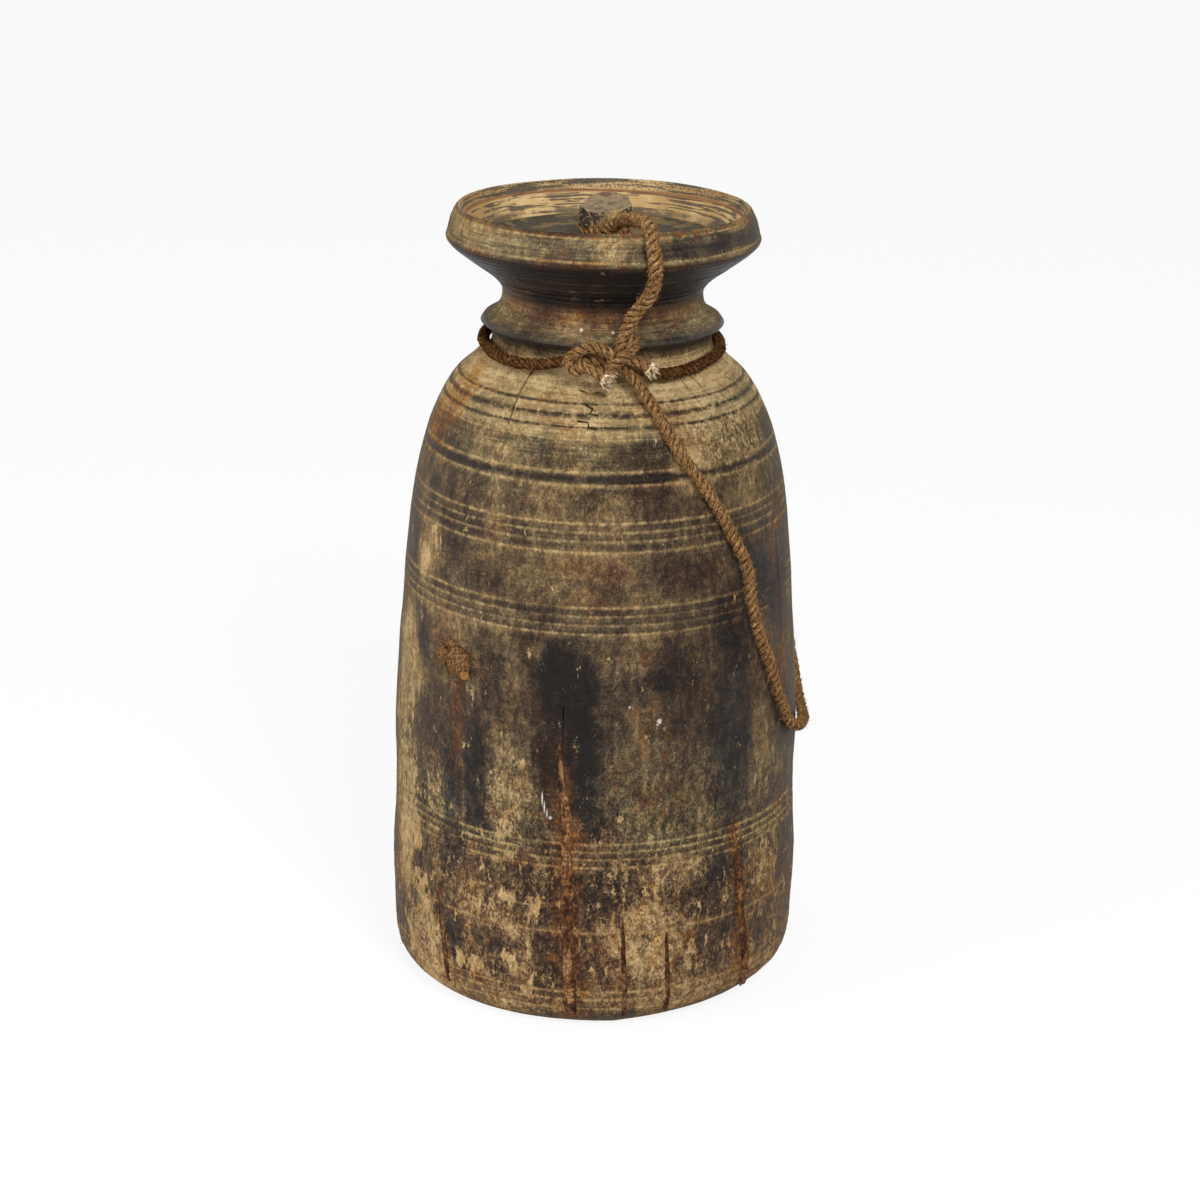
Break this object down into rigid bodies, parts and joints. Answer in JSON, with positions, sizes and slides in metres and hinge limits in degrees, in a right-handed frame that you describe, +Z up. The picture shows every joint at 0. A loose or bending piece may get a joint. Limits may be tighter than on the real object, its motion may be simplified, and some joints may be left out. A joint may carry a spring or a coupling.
{
  "type": "lidded wooden pot",
  "caption": "Tall turned wooden pot with a flared mouth, a knobbed plug lid tethered by rope, a neck ring with a knot, and a carrying rope.",
  "frame": {"origin": "centre of the base's flat underside, at the turning axis", "axes": "+Z up along the turning axis towards the mouth; -Y towards the front, where the rope knot is; +X towards the side on which the carrying rope hangs"},
  "size_m": [0.2561, 0.25, 0.4824],
  "materials": {
    "weathered_wood": "aged ochre wood under a worn grey-brown patina, dull",
    "lid_wood": "dark greasy patina, satin",
    "knob_wood": "whittled branch with rough bark, dull",
    "rope_fibre": "hairy brown three-strand rope",
    "crack_resin": "crumbling rust-brown resin",
    "plug_clay": "dry orange-brown clay and resin"
  },
  "bodies": {
    "pot": {"pot_body": "weathered_wood", "neck_knot": "rope_fibre", "neck_ring": "rope_fibre", "lid_tether": "rope_fibre", "carry_loop": "rope_fibre", "back_tie": "rope_fibre", "hole_plug": "plug_clay", "crack_fill_front": "crack_resin", "crack_fill_right": "crack_resin", "crack_fill_left": "crack_resin", "crack_fill_low_centre": "crack_resin", "crack_fill_low_right": "crack_resin"},
    "hitch": {"knob_hitch": "rope_fibre"},
    "lid": {"lid_disc": "lid_wood", "lid_knob": "knob_wood"}
  },
  "joints": [
    {"name": "lid_lift", "type": "slide", "parent": "pot", "child": "hitch", "axis": [0, 0, 1], "range_m": [0, 0.07], "deforming": ["lid_tether"]},
    {"name": "lid_turn", "type": "hinge", "parent": "hitch", "child": "lid", "pos_m": [0, 0, 0.4548], "axis": [0, 0, 1], "continuous": true}
  ]
}
